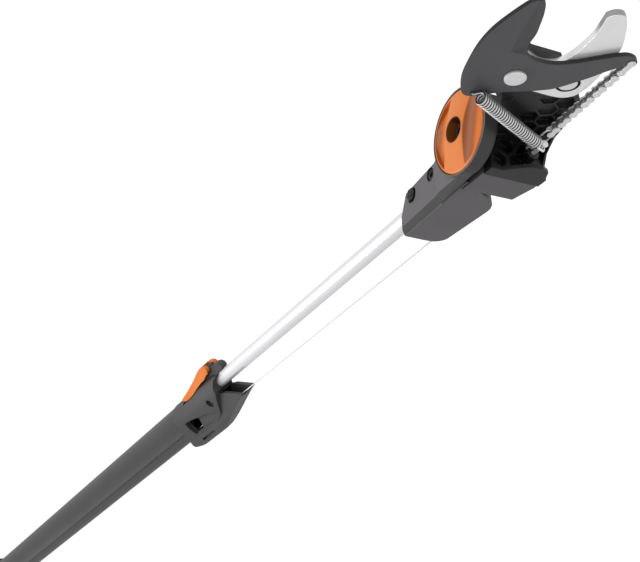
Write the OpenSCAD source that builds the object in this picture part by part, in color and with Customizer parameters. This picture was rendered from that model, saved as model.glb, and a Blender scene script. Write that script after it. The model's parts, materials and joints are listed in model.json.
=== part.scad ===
// Telescopic tree pruner pole: a bypass cutting head on a tilting joint,
// an inner tube sliding in an outer tube, and a pull handle that closes the blade.
// +Z runs up the pole to the head, -Y is the blade's front, -X is the tilt knob's side.
// The origin is on the inner tube's axis at the middle of the hand grip. Millimetres.

/* [Pole] */
// Length of the outer tube
outer_len = 1650; // [1400:10:1800]
// Radius of the outer tube's round lobe
lobe_r = 19.5; // [19:0.25:20.5]
// Radius of the outer tube's strap channel
channel_r = 8; // [7.5:0.5:9]
// Distance from the pole axis to the strap channel's centre
channel_u = 31; // [30:0.5:33]
// Wall of the outer tube
outer_wall = 2; // [1.5:0.25:2.5]
// Outside diameter of the inner tube
tube_d = 18; // [16:0.5:19]
// Wall of the inner tube
tube_wall = 1.5; // [1:0.25:2.5]
// Length of the inner tube
inner_len = 1884; // [1600:4:2000]
// Length of inner tube standing out of the outer tube
pole_out = 684; // [600:2:900]
// Thickness of the pull strap
strap_t = 1.4; // [1:0.2:2]
// Width of the pull strap
strap_w = 5; // [4:0.5:7]

/* [Grips] */
// Length of the hand grip
grip_len = 150; // [110:5:200]
// Height of the grip's middle above the outer tube's lower end
grip_up = 80; // [80:5:120]
// Thickness of the hand grip's rubber
grip_t = 3; // [2:0.5:5]
// Height of the butt cap
cap_h = 24; // [20:1:32]
// Radius of the hanging hole in the butt cap
hang_r = 4; // [3:0.5:5]
// Height of the pull handle's middle above the hand grip's middle
handle_z = 500; // [450:10:560]
// Length of the pull handle
handle_len = 130; // [100:5:150]
// Travel of the pull handle
handle_stroke = 180; // [150:5:210]

/* [Collar] */
// Wall of the collar round the outer tube
collar_wall = 1; // [0.8:0.2:2]
// Depth of the outer tube's seat in the collar
collar_seat = 50; // [46:1:52]
// Thickness of the clamp bush
bush_t = 1.7; // [1.2:0.1:2]
// Radius of the clamp lever's pin
lever_pin_r = 2.5; // [2:0.25:3]
// Half width of the clamp lever
lever_half = 11.5; // [11:0.25:12.5]

/* [Base housing] */
// Distance from the tilt axis down to the inner tube's top end
tube_drop = 56; // [54:1:62]
// Distance from the tilt axis down to the base's lower end
base_drop = 143; // [140:1:160]
// Distance from the pole axis to the cheek's outer face
cheek_face = 33; // [32:0.5:36]
// Slope of the base's bolt side towards the pole
left_flare = 0.09; // [0.05:0.01:0.1]
// Distance from the pole axis to the right side of the base
base_right = 27.5; // [27:0.5:32]
// Half depth of the base at the tilt axis
base_half = 36.5; // [35.5:0.5:39]
// Slope of the base's front towards the pole
front_flare = 0.065; // [0.04:0.005:0.07]
// Chamfer along the base's front edge
base_chamfer = 7; // [4:0.5:7.5]
// Radius of the cheek that holds the tilt knob
cheek_r = 40; // [39.5:0.5:42]
// Radius of the base bolts
base_bolt_r = 3; // [2.5:0.25:3.5]

/* [Tilt knob] */
// Radius of the tilt knob
knob_r = 38; // [35:0.5:38]
// Height of the tilt knob
knob_h = 8.5; // [8:0.5:11]
// Rise of the knob's bar above its rim
knob_dome = 5; // [4:0.5:6]
// Width of the knob's grip bar
bar_w = 28; // [24:0.5:30]
// Turn of the knob's grip bar from the horizontal
bar_turn = 20; // [0:1:90]
// Radius of the tilt bolt
tilt_bolt_r = 5; // [4:0.25:6]

/* [Cutting head] */
// Radius of the drum housing's round underside
belly_r = 48; // [47:0.5:52]
// Wall of the drum housing
belly_wall = 2; // [1.5:0.25:2]
// Thickness of the frame's foot
foot_t = 12; // [8:0.5:13]
// Thickness of the blade
blade_t = 4; // [3:0.25:4.5]
// Thickness of the hook
hook_t = 6; // [5.5:0.25:6.5]
// Thickness of the steel back plate
plate_t = 4; // [3:0.25:6]
// Thickness of the rear frame
rear_t = 8; // [6:0.2:10]
// Radius of the pivot bolt
pivot_r = 6; // [5:0.25:7]
// Depth of the frame's honeycomb pockets
comb_depth = 6; // [4:0.25:6.5]
// Radius of the frame's honeycomb pockets
comb_r = 8.2; // [6:0.2:8.6]

/* [Chain and spring] */
// Pitch of the chain
chain_pitch = 8; // [7.5:0.1:8.5]
// Length of the chain's first link
first_link = 12.8; // [12:0.1:14]
// Radius of the chain's link ends
link_r = 3.4; // [3:0.1:3.6]
// Radius of the chain's rivets
rivet_r = 1.4; // [1:0.1:1.6]
// Radius of the spring's wire
wire_r = 1.15; // [0.9:0.05:1.3]
// Radius of the spring's coil, to the wire's middle
coil_r = 4.85; // [4:0.05:5.2]
// Number of turns in the spring
coil_turns = 28; // [22:1:30]

/* [Hidden] */
$fn = 48;
run_gap = 0.06;
seat_gap = 0.05;
body_gap = 0.4;
slide_gap = 0.08;
cut = 1;

tube_r = tube_d / 2;
lobe_in = lobe_r - outer_wall;
lobe_u = lobe_in - tube_r - body_gap;
outer_bottom = -grip_up;
outer_top = outer_bottom + outer_len;
inner_top = outer_top + pole_out;
inner_bottom = inner_top - inner_len;
tilt_z = inner_top + tube_drop;
collar_z = outer_top - collar_seat;
strap_u = channel_u;
strap_end = inner_bottom + 40;

washer_t = 1.5;
knob_x = cheek_face + washer_t;
swing_gap = 0.5;
slot_w = 6;
cheek_t = 6;
cheek_in = cheek_face - cheek_t;
swing_r = belly_r + swing_gap;
slot_r = cheek_r + 1;
rim_x = knob_x + knob_h - 0.5;
bolt_hi = -73;
bolt_lo = -112;
bolt_head_r = base_bolt_r + 2.5;
bolt_head_t = 3;
bolt_recess = 5;
nut_t = 4.5;
nut_recess = 3.5;
nut_r = base_bolt_r + 3.6;
bush_u = strap_t / 2 + 1.5;
bush_w = strap_w / 2 + 1.1;
function left_at(z) = -cheek_face - left_flare * z;
function front_at(z) = -base_half - front_flare * z;

knob_floor = 3;
knob_hole_r = 11;

head_left = cheek_in - slot_w;
head_right = 36;
hub_r = 14;
belly_half = base_half + 0.5;
foot_half = belly_half + 1.5;
drum_x = 6;
drum_z = -26;
drum_r = 17;
spool_r = 7.5;
axle_r = 3;

blade_y = -14;
blade_back = blade_y + blade_t;
blade_mid = blade_y + blade_t / 2;
hook_y = blade_back + body_gap;
plate_y0 = hook_y + hook_t;
rear_y0 = plate_y0 + plate_t;
rear_y1 = rear_y0 + rear_t;
chain_half = blade_t / 2 + 2.2;
web_y = blade_mid + chain_half + 0.8;
web_top = 85.5;
tang_low = 62;

pivot = [-58, 102.5];
lever_end = [16, 153.5];
hook_bolt = [-7.5, 105];
hook_bolt_r = 4;
hook_head_r = 8;
screws = [[-14, 22], [31, 20], [-38, 66]];
screw_r = 2;
screw_head_r = 3.8;

chain_links = 12;
chain_lean = 2.1;
plate_link_t = 1.4;

post = [17.6, -20.5, 33];
post_r = 2;
spring_hole = [-77, 71];
spring_hole_r = 1.8;
spring_end = [-73.2, blade_y - body_gap - wire_r - coil_r, 75];
spring_vec = spring_end - post;
spring_len = norm(spring_vec);
spring_dir = spring_vec / spring_len;
spring_turn = [0, acos(spring_dir[2]), atan2(spring_dir[1], spring_dir[0])];
wire_from = post_r + 1.2;
coil_from = 8.5;
wound = coil_turns - 0.25;
coil_pitch = (spring_len - coil_from) / wound;

collar_r = lobe_r + collar_wall;
hump_r = 13;
hump_u = 41;
lever_pin = [-21.5, 172];
lug_half = 5;
lever_wall = 3;
face_u = -12;
lug_r = 3.9;
clamp_bolt = [14, 142];
clamp_bolt_r = 2.5;
collar_screw_u = 45.5;
collar_screw_z = [36, 104];
scoop_half = 8;

// Points of an arc about c, from angle a to angle b
function arc(c, r, a, b, n = 10) =
    [for (k = [0 : n]) c + r * [cos(a + (b - a) * k / n), sin(a + (b - a) * k / n)]];

// One point of a curve that runs from b to c, with a and d as its neighbours
function between(a, b, c, d, t) = 0.5 * (2 * b + (c - a) * t
    + (2 * a - 5 * b + 4 * c - d) * t * t + (3 * b - a - 3 * c + d) * t * t * t);

// A smooth closed outline through p; a point given twice is a corner
function smooth(p, n = 5) = let (m = len(p))
    [for (i = [0 : m - 1], k = [0 : n - 1])
        let (a = p[(i + m - 1) % m], b = p[i], c = p[(i + 1) % m], d = p[(i + 2) % m])
        if (b != c) between(a, b, c, d, k / n)];

// A drawing of x and z, made solid from y0 to y1
module slab_y(y0, y1) {
    translate([0, y1, 0]) rotate([90, 0, 0]) linear_extrude(y1 - y0) children();
}

// A drawing of y and z, made solid from x0 to x1
module slab_x(x0, x1) {
    translate([x0, 0, 0]) rotate([90, 0, 90]) linear_extrude(x1 - x0) children();
}

module rod_x(r, x0, x1, sides = 48) {
    translate([x0, 0, 0]) rotate([0, 90, 0]) cylinder(r = r, h = x1 - x0, $fn = sides);
}

module rod_y(r, y0, y1, sides = 48) {
    translate([0, y1, 0]) rotate([90, 0, 0]) cylinder(r = r, h = y1 - y0, $fn = sides);
}

// The pole's own frame: x runs from the inner tube to the strap
module along_pole(z = 0) {
    translate([0, 0, z]) rotate([0, 0, -45]) children();
}

module at_tilt() {
    translate([0, 0, tilt_z]) children();
}

// A round hole or rod seat along y at the point p of x and z
module at_xz(p) {
    translate([p[0], 0, p[1]]) children();
}

// The outer tube's section, grown by add
module keyhole(add) {
    translate([lobe_u, 0]) circle(r = lobe_r + add);
    translate([lobe_u, -channel_r - add]) square([channel_u - lobe_u, 2 * (channel_r + add)]);
    translate([channel_u, 0]) circle(r = channel_r + add);
}

// Two circles of radius r1 and r2, d apart, with their tangents
module egg(r1, r2, d) {
    a = acos((r1 - r2) / d);
    circle(r = r1);
    translate([d, 0]) circle(r = r2);
    polygon([[r1 * cos(a), r1 * sin(a)], [d + r2 * cos(a), r2 * sin(a)],
        [d + r2 * cos(a), -r2 * sin(a)], [r1 * cos(a), -r1 * sin(a)]]);
}

// Outer tube, with the slot that the pull handle's tongue runs in
module outer_tube() {
    slot_half = 2.2;
    color("dimgray") along_pole() difference() {
        translate([0, 0, outer_bottom]) linear_extrude(outer_len) difference() {
            keyhole(0);
            keyhole(-outer_wall);
        }
        translate([channel_u + channel_r - outer_wall - cut, -slot_half, handle_z - handle_stroke - 24])
            cube([outer_wall + 2 * cut, 2 * slot_half, handle_stroke + 48]);
    }
}

// Plug and foot of the pole, with the hanging hole
module butt_cap() {
    plug_h = 20;
    color("black") along_pole() difference() {
        union() {
            translate([0, 0, outer_bottom - cap_h]) linear_extrude(cap_h) keyhole(1.5);
            translate([0, 0, outer_bottom]) linear_extrude(plug_h) keyhole(-outer_wall - 0.1);
        }
        translate([lobe_u, 0, outer_bottom - cap_h / 2]) rod_y(hang_r, -lobe_r - 3, lobe_r + 3);
    }
}

// Rubber sleeve with raised bands
module hand_grip() {
    bands = 6;
    band_h = 8;
    step = (grip_len - band_h) / (bands - 1);
    color("black") along_pole() difference() {
        union() {
            translate([0, 0, -grip_len / 2]) linear_extrude(grip_len) keyhole(grip_t);
            for (k = [0 : bands - 1])
                translate([0, 0, k * step - grip_len / 2]) linear_extrude(band_h) keyhole(grip_t + 1);
        }
        translate([0, 0, -grip_len / 2 - cut]) linear_extrude(grip_len + 2 * cut) keyhole(seat_gap);
    }
}

// Side view of the collar's round body, from the lever's face to the rim beside the scoop
module collar_side() {
    polygon([[-collar_r, 40], [-collar_r, 70], [face_u, 76], [face_u, 168], [-9, 178], [-8, 186], [-5.5, 180],
        [0, 174], [5, 171.5], [9, 170], [12, 166], [20, 155], [33, 139], [38.5, 118], [37, 60], [36, 26],
        [24, 28], [12, 40]]);
}

// Side view of the strap hump with the scoop that stands up from it
module hump_side() {
    polygon([[4, 150], [13, 166], [16, 177], [29, 201], [31, 204], [33, 203], [34.5, 193], [41, 163],
        [47.5, 137], [53, 114], [hump_u + hump_r, 100], [hump_u + hump_r, 34], [47.5, 20], [40, 21],
        [34, 24], [24, 60]]);
}

// Side view of the fork, a tongue that carries the lever's pin
module fork_side() {
    translate(lever_pin) circle(r = lug_r);
    polygon([[-12, 148], [-14, 154.5], [-20.5, 166], [-20.5, 190], [-18.5, 196.5], [-15, 200], [-10.5, 200],
        [-8.5, 196], [-7, 186], [-6, 176], [-6, 148]]);
}

// Clamp collar at the top of the outer tube
module collar_body() {
    bush_r = tube_r + bush_t + run_gap;
    notch_w = lever_half - lever_wall - body_gap;
    color("dimgray") along_pole(collar_z) difference() {
        union() {
            intersection() {
                slab_y(-collar_r - cut, collar_r + cut) collar_side();
                translate([lobe_u, 0, 0]) linear_extrude(240) egg(collar_r, hump_r, hump_u - lobe_u);
            }
            intersection() {
                slab_y(-hump_r - cut, hump_r + cut) hump_side();
                translate([lobe_u, 0, 0]) linear_extrude(240) egg(hump_r + 0.2, hump_r, hump_u - lobe_u);
            }
            slab_y(-lug_half, lug_half) fork_side();
        }
        linear_extrude(collar_seat) keyhole(seat_gap);
        translate([0, 0, collar_seat - cut]) cylinder(r = bush_r + seat_gap, h = 110);
        cylinder(r = tube_r + body_gap, h = 240);
        // hollow for the strap, its window, the shallow pocket beside it and the strap's way up
        translate([14, -9, collar_seat - cut]) cube([20, 18, 71]);
        slab_y(-collar_r - cut, 0) polygon([[14, 57], [26, 53.5], [33, 55], [33, 74], [20, 80], [15, 70]]);
        slab_y(-collar_r - cut, -11)
            polygon([[13.5, 57], [22, 53], [34, 53], [36, 108], [33, 126], [27, 134], [20, 110], [14.5, 72]]);
        translate([strap_u - 2.5, -strap_w / 2 - 2, collar_seat]) cube([5, strap_w + 4, 125]);
        slab_y(-scoop_half, scoop_half)
            polygon([[19, 150], [38, 150], [33, 186], [32.3, 240], [10, 240], [10, 172]]);
        slab_y(hump_r + 0.2, 40) polygon([[2, 240], [2, 172], [8, 158], [40, 124], [60, 124], [60, 240]]);
        // room for the lever's side walls
        for (side = [-1, 1])
            slab_y(side > 0 ? notch_w : -40, side > 0 ? 40 : -notch_w)
                polygon([[-40, 77], [-40, 168], [-12.5, 168], [-12, 150], [-10, 130], [-6.6, 107], [-6.6, 77]]);
        at_xz(lever_pin) rod_y(lever_pin_r + seat_gap, -20, 20);
        // clamp bolt, its nut's recess, the hump's screws and slit
        at_xz(clamp_bolt) rod_y(clamp_bolt_r + seat_gap, -30, 30);
        at_xz(clamp_bolt) rod_y(6.5, -30, -14.5, 6);
        for (z = collar_screw_z) translate([collar_screw_u, 0, z]) {
            rod_y(screw_r + seat_gap, -11, 20);
            rod_y(screw_head_r + 0.2, 10, 20);
        }
        translate([44, -14, 52]) cube([3.5, 6, 40]);
    }
}

module collar_screws() {
    color("silver") along_pole(collar_z)
        for (z = collar_screw_z) translate([collar_screw_u, 0, z]) {
            rod_y(screw_r, -11, 10);
            difference() {
                rod_y(screw_head_r, 10, 12);
                rod_y(1.8, 11, 13, 6);
            }
        }
}

// Split bush that grips the inner tube
module clamp_bush() {
    color("black") along_pole(collar_z) difference() {
        translate([0, 0, collar_seat + 4]) cylinder(r = tube_r + bush_t + run_gap, h = 104);
        translate([0, 0, collar_seat]) cylinder(r = tube_r + run_gap, h = 120);
        translate([5, -0.75, collar_seat]) cube([10, 1.5, 120]);
    }
}

module lever_pin_rod() {
    color("silver") along_pole(collar_z) at_xz(lever_pin)
        rod_y(lever_pin_r, 1.5 - lever_half, lever_half - 1);
}

module clamp_bolt_rod() {
    color("silver") along_pole(collar_z) at_xz(clamp_bolt) rod_y(clamp_bolt_r, -17, 16);
}

module clamp_nut() {
    color("silver") along_pole(collar_z) at_xz(clamp_bolt) difference() {
        rod_y(5, -16.5, -14.5, 6);
        rod_y(clamp_bolt_r + seat_gap, -20, -10);
    }
}

// Orange cam lever, hinged at its top and closed against the collar
module clamp_lever() {
    in_w = lever_half - lever_wall;
    side = smooth([[-13.5, 81], [-16.5, 102], [-21.5, 131], [-26.8, 155], [-28.4, 166], [-28.4, 166],
        [-26.8, 172], [-24.6, 176], [-21.5, 177.2], [-18.4, 176], [-16.3, 172], [-15.8, 166], [-13.5, 157],
        [-13, 146], [-11, 128], [-7.8, 106], [-7.4, 88], [-7.4, 88], [-9, 82], [-11, 79.5]]);
    color("orange") along_pole(collar_z) difference() {
        slab_y(-lever_half, lever_half) polygon(side);
        slab_y(-in_w, in_w)
            polygon([[face_u - body_gap, 60], [face_u - body_gap, 146], [-17.5, 157],
                [-17.5, 200], [0, 200], [0, 60]]);
        slab_y(-lug_half - body_gap, lug_half + body_gap) {
            translate([lever_pin[0] - lug_r - body_gap, 154]) square([40, 60]);
            translate([-60, 166.5]) square([100, 60]);
        }
        at_xz(lever_pin) rod_y(lever_pin_r + run_gap, 1.2 - lever_half, 20);
    }
}

// One half of the pull handle, on the side of the pole that sign gives
module handle_half(sign) {
    grip_r = lobe_r + 4;
    toe_r = channel_r + 7;
    toe_u = channel_u + 6 - lobe_u;
    screw_u = channel_u + channel_r + 6;
    intersection() {
        difference() {
            union() {
                translate([lobe_u, 0, -handle_len / 2]) linear_extrude(handle_len) egg(grip_r, toe_r, toe_u);
                for (z = [-handle_len / 2, handle_len / 2 - 8])
                    translate([lobe_u, 0, z]) linear_extrude(8) egg(grip_r + 4, toe_r + 4, toe_u);
            }
            translate([0, 0, -handle_len]) linear_extrude(2 * handle_len) keyhole(body_gap);
            translate([0, -2, -20]) cube([channel_u + channel_r + 3, 4, 40]);
            for (z = [-40, 40]) translate([screw_u, 0, z]) {
                rod_y(screw_r + seat_gap, -40, 40);
                translate([-5, -30, -5]) cube([20, 21, 10]);
            }
        }
        translate([-60, sign > 0 ? 0 : -60, -handle_len]) cube([160, 60, 2 * handle_len]);
    }
}

module handle_front() {
    color("black") along_pole(handle_z) handle_half(-1);
}

module handle_back() {
    color("black") along_pole(handle_z) handle_half(1);
}

module handle_screws() {
    screw_u = channel_u + channel_r + 6;
    color("silver") along_pole(handle_z)
        for (z = [-40, 40]) translate([screw_u, 0, z]) {
            rod_y(screw_r, -9, 11);
            difference() {
                rod_y(screw_head_r, -11, -9);
                rod_y(1.8, -12, -10, 6);
            }
        }
}

// Tongue on the handle that draws the strap through the tube's slot
module strap_tongue() {
    tongue_u = strap_u + strap_t / 2 + 0.8;
    color("black") along_pole(handle_z)
        translate([tongue_u, -1.95, -19.9]) cube([channel_u + channel_r + 2.9 - tongue_u, 3.9, 39.8]);
}

module inner_tube() {
    color("silver") difference() {
        translate([0, 0, inner_bottom]) cylinder(r = tube_r, h = inner_len);
        translate([0, 0, inner_bottom - cut]) cylinder(r = tube_r - tube_wall, h = inner_len + 2 * cut);
        at_tilt() for (z = [bolt_hi, bolt_lo])
            translate([0, 0, z]) rod_x(base_bolt_r + seat_gap, -20, 20);
    }
}

// Plug that guides the inner tube's lower end in the outer tube
module tube_glide() {
    glide_h = 30;
    color("black") along_pole() {
        translate([lobe_u, 0, inner_bottom - 10]) cylinder(r = lobe_in - slide_gap, h = 10);
        translate([0, 0, inner_bottom]) cylinder(r = tube_r - tube_wall - seat_gap, h = glide_h);
    }
}

// Front view of the base, up to the tilt axis on the cheek's side
module base_view() {
    polygon(concat([[left_at(0), 0]],
        arc([left_at(-base_drop) + 11, 10 - base_drop], 11, 180, 250),
        [[6, -base_drop - 1]],
        arc([base_right - 14, 13 - base_drop], 14, 285, 360),
        [[base_right, -65], [base_right - 1, -58], [base_right - 4, -51.5], [base_right - 9, -45.5],
            [base_right - 18, -40], [-4, -33], [-head_left, -20], [-head_left, 0]]));
}

// Side view of the base, without the round of its cheek
module base_profile() {
    polygon([[-base_half, 0], [front_at(-base_drop - 1), -base_drop - 1], [-22, -base_drop - 1],
        [6, 19 - base_drop], [14, 31 - base_drop], [14, -80], [18, -62], [36, -17]]);
}

// The base before it is split into cheek and body
module base_block() {
    low = -base_drop - 10;
    lean = [atan(front_flare), -atan(left_flare), 0];
    ramp_low = -65;
    edge = left_at(ramp_low);
    front = front_at(ramp_low);
    difference() {
        union() {
            difference() {
                intersection() {
                    slab_y(-60, 60) base_view();
                    slab_x(-60, 60) base_profile();
                }
                // chamfer from the bolt side to the front, and one behind
                translate([left_at(low), front_at(low), low]) rotate(lean) linear_extrude(180)
                    polygon([[-40, base_chamfer + 40], [base_chamfer + 40, -40], [-40, -40]]);
                translate([left_at(low), 14, low]) rotate([0, lean[1], 0]) linear_extrude(180)
                    polygon([[-40, -48], [48, 40], [-40, 40]]);
                rod_x(slot_r, -60, 0, 96);
            }
            // round cheek with its rim, and the ramp that leads up to it
            rod_x(cheek_r, -rim_x, -cheek_in - cheek_t + 1.5, 96);
            rod_x(cheek_r - 3.5, -cheek_face, -cheek_in, 96);
            hull() {
                translate([0, 0, ramp_low]) linear_extrude(0.1) polygon([[edge, 6], [edge, front + base_chamfer],
                    [edge + base_chamfer, front], [edge + base_chamfer, 6]]);
                linear_extrude(0.1) polygon([[-rim_x, 12], [-rim_x, -cheek_r], [-cheek_in - 4.5, -cheek_r],
                    [-cheek_in - 4.5, 12]]);
            }
        }
        rod_x(swing_r, -head_left - body_gap, 60, 96);
        rod_x(slot_r, -cheek_in, 0, 96);
        rod_x(knob_r + body_gap, -60, -cheek_face, 96);
        // way for the strap from the lower end to the slot beside the hub
        slab_y(front_at(low) + 1.5, -14.5)
            polygon([[14, 12 - base_drop], [25, 12 - base_drop], [25, -117], [-19.5, -60], [-19.5, -20],
                [-head_left - 3.4, -20], [-head_left - 3.4, -62]]);
        for (z = [bolt_hi, bolt_lo]) translate([0, 0, z]) rod_x(base_bolt_r + seat_gap, -60, 60);
        translate([0, 0, bolt_hi]) {
            rod_x(bolt_head_r + 1, -60, left_at(bolt_hi) + bolt_recess);
            rod_x(nut_r + 0.4, base_right - nut_t, 60, 6);
        }
        translate([0, 0, bolt_lo]) {
            rod_x(nut_r + 1.5, -60, left_at(bolt_lo) + nut_recess);
            rod_x(bolt_head_r + 1, base_right - bolt_recess, 60);
        }
    }
}

// Everything on the bolt side of the seam, which follows the chamfer's edge
module seam_side() {
    rotate([0, -atan(left_flare), 0]) translate([-200 - cheek_face + base_chamfer, -100, -300])
        cube([200, 200, 400]);
    translate([-200 - cheek_in + 0.5, -100, -30]) cube([200, 200, 130]);
}

// Bolt side of the base, with the round cheek that the knob clamps
module base_cheek() {
    color("gray") at_tilt() difference() {
        intersection() {
            base_block();
            seam_side();
        }
        rod_x(tilt_bolt_r + run_gap, -60, 0);
    }
}

// Main part of the base, with the tube's socket and the strap's eyelet
module base_body() {
    color("gray") at_tilt() difference() {
        base_block();
        seam_side();
        rod_x(tilt_bolt_r + run_gap, -60, 0);
        translate([0, 0, -200]) cylinder(r = tube_r + seat_gap, h = 200 - tube_drop + seat_gap);
        rotate([0, 0, -45]) translate([strap_u - bush_u - seat_gap, -bush_w - seat_gap, -base_drop - 10])
            cube([2 * (bush_u + seat_gap), 2 * (bush_w + seat_gap), 24]);
    }
}

module base_bolts() {
    hi = left_at(bolt_hi) + bolt_recess;
    color("silver") at_tilt() {
        translate([0, 0, bolt_hi]) {
            rod_x(base_bolt_r, hi, base_right - 0.5);
            difference() {
                rod_x(bolt_head_r, hi - bolt_head_t, hi);
                rod_x(2.6, -40, hi - 1, 6);
            }
        }
        translate([0, 0, bolt_lo]) {
            rod_x(base_bolt_r, left_at(bolt_lo) + nut_recess - nut_t - 0.5, base_right - bolt_recess);
            rod_x(bolt_head_r, base_right - bolt_recess, base_right - bolt_recess + bolt_head_t);
        }
    }
}

module base_nuts() {
    lo = left_at(bolt_lo) + nut_recess;
    color("silver") at_tilt() difference() {
        union() {
            translate([0, 0, bolt_hi]) rod_x(nut_r, base_right - nut_t, base_right, 6);
            translate([0, 0, bolt_lo]) rod_x(nut_r, lo - nut_t, lo, 6);
        }
        for (z = [bolt_hi, bolt_lo]) translate([0, 0, z]) rod_x(base_bolt_r + seat_gap, -60, 60);
    }
}

// Eyelet where the strap enters the base
module strap_bush() {
    color("black") along_pole(tilt_z - base_drop) difference() {
        translate([strap_u - bush_u, -bush_w, 2]) cube([2 * bush_u, 2 * bush_w, 11.9]);
        translate([strap_u - strap_t / 2 - 0.5, -strap_w / 2 - 0.4, 0]) cube([strap_t + 1, strap_w + 0.8, 20]);
    }
}

// A thin slice across the strap's way
module strap_slice(p, turn) {
    translate(p) rotate([0, 0, turn]) translate([-strap_t / 2, -strap_w / 2, 0])
        cube([strap_t, strap_w, 0.2]);
}

// Strap from the tilt joint through the base and down the tube's channel
module pull_strap() {
    low = [strap_u / sqrt(2), -strap_u / sqrt(2), 14 - base_drop];
    high = [-head_left - 1.7, -19.5, -60];
    color("lightgray") {
        along_pole() translate([strap_u - strap_t / 2, -strap_w / 2, strap_end])
            cube([strap_t, strap_w, tilt_z + low[2] - strap_end + 0.2]);
        at_tilt() {
            hull() {
                strap_slice(low, -45);
                strap_slice(high, 0);
            }
            translate(high - [strap_t / 2, strap_w / 2, 0]) cube([strap_t, strap_w, 58]);
        }
    }
}

module knob_washer() {
    color("silver") at_tilt() difference() {
        rod_x(hub_r, -knob_x, -cheek_face);
        rod_x(tilt_bolt_r + run_gap, -60, 0);
    }
}

// Orange knob: a grip bar between two hollowed sides
module tilt_knob() {
    hollow_r = 13;
    hollow_t = bar_w / 2 + 12;
    hollow_up = 8.5;
    color("orange") at_tilt() translate([-knob_x, 0, 0]) rotate([bar_turn, 0, 0]) rotate([0, -90, 0])
        difference() {
            rotate_extrude($fn = 96) polygon([[tilt_bolt_r + seat_gap, 0], [knob_r - 3, 0],
                [knob_r, 2], [knob_r, knob_h - 1.5], [knob_r - 1.2, knob_h],
                [knob_hole_r, knob_h + knob_dome], [knob_hole_r, knob_floor], [tilt_bolt_r + seat_gap, knob_floor]]);
            for (side = [-1, 1]) intersection() {
                translate([side * hollow_t, 0, knob_h + hollow_up]) rod_y(hollow_r, -50, 50, 64);
                cylinder(r = knob_r - 2.5, h = 20, $fn = 96);
            }
        }
}

module knob_bolt() {
    head_x = -knob_x - knob_floor;
    color("silver") at_tilt() {
        rod_x(tilt_bolt_r, head_x, belly_wall - head_left + 7);
        difference() {
            rod_x(tilt_bolt_r + 2.5, head_x - 4, head_x);
            rod_x(tilt_bolt_r - 1, head_x - 6, head_x - 1, 6);
        }
    }
}

// Honeycomb pockets that stay inside the frame's web, between two heights
module comb_cells(from, to) {
    step = 2 * comb_r * cos(30) + 2.4;
    for (row = [0 : 4], col = [-1 : 3]) {
        x = -6 + col * step + (row % 2) * step / 2;
        z = foot_t + 10 + row * step * cos(30);
        on_web = x > max(-12, 8 - z * 0.4) && x < 26 - z * 0.06;
        if (on_web && z > from && z < to) translate([x, z]) rotate(30) circle(r = comb_r, $fn = 6);
    }
}

// Outline of the frame's web, below the hook
module web_shape() {
    polygon([[-head_left, 0], [-head_left, 38], [-28, 44], [-41, 60], [-52, 78], [-50, web_top],
        [21, web_top], [32, 49], [head_right, 28], [head_right, 0]]);
}

// Front frame: foot with its front wall, post boss and honeycomb web
module head_frame() {
    boss_top = 22;
    color("black") at_tilt() difference() {
        union() {
            translate([-head_left, -foot_half, 0]) cube([head_left + head_right, foot_half + rear_y0, foot_t]);
            slab_y(web_y, rear_y0) web_shape();
            slab_y(-foot_half, 4 - foot_half)
                polygon([[-9, 4], [-9, foot_t], [0, 19], [10, 25], [22, 27], [30, 23], [head_right, foot_t - 3],
                    [head_right, 4]]);
            translate([post[0], post[1], 4]) cylinder(r = post_r + 4, h = boss_top - 4);
            slab_x(head_right - 2.5, head_right)
                polygon([[-foot_half, 4], [-26, foot_t], [-15, 18], [web_y, 30], [web_y + 2, 4]]);
        }
        slab_y(web_y - cut, plate_y0 - 0.6) comb_cells(tang_low - comb_r, 90);
        slab_y(web_y - cut, web_y + comb_depth) comb_cells(0, tang_low - comb_r);
        slab_y(plate_y0, rear_y0 + cut) back_shape();
        // open cells in the foot
        for (p = [[-11, -27], [6, -27], [-2.5, -12.5]])
            translate([p[0], p[1], 4]) rotate(30) cylinder(r = comb_r - 0.6, h = 20, $fn = 6);
        // ways for the chain, the joint's hub and the drum
        translate([drum_x + 8, blade_mid - chain_half - 1.6, -cut])
            cube([19.5, 2 * chain_half + 2.2, boss_top + 2 * cut]);
        rod_x(hub_r + body_gap, -60, belly_wall - head_left + 8);
        translate([post[0], post[1], 8]) cylinder(r = post_r + seat_gap, h = 30);
        for (p = screws) at_xz(p) {
            rod_y(screw_r + seat_gap, -10, 20);
            rod_y(screw_head_r + 0.2, -20, web_y + 2);
        }
    }
}

// Side view of the drum housing, inset by t
module belly_view(t) {
    top = t > 0 ? cut : 0;
    polygon(concat([[head_right - t, -6], [head_right - t, top], [t - head_left, top],
        [t - head_left, -60], [10, -60]], arc([10, -34], 19 - t, -55, -10, 6)));
}

// Grey housing under the frame, round about the tilt axis, with the joint's hub
module drum_housing() {
    in_half = belly_half - belly_wall;
    color("gray") at_tilt() difference() {
        union() {
            difference() {
                intersection() {
                    slab_y(-belly_half, belly_half) belly_view(0);
                    rod_x(belly_r, -60, 60, 96);
                }
                intersection() {
                    slab_y(-in_half, in_half) belly_view(belly_wall);
                    rod_x(belly_r - belly_wall, -60, 60, 96);
                }
            }
            rod_x(hub_r, body_gap - cheek_in, belly_wall - head_left);
        }
        rod_x(tilt_bolt_r + run_gap, -60, 0);
        translate([drum_x, 0, drum_z]) rod_y(axle_r + seat_gap, -in_half - 1, in_half + 1);
    }
}

module drum_axle() {
    half = belly_half - belly_wall + 0.9;
    color("silver") at_tilt() translate([drum_x, 0, drum_z]) rod_y(axle_r, -half, half);
}

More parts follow.
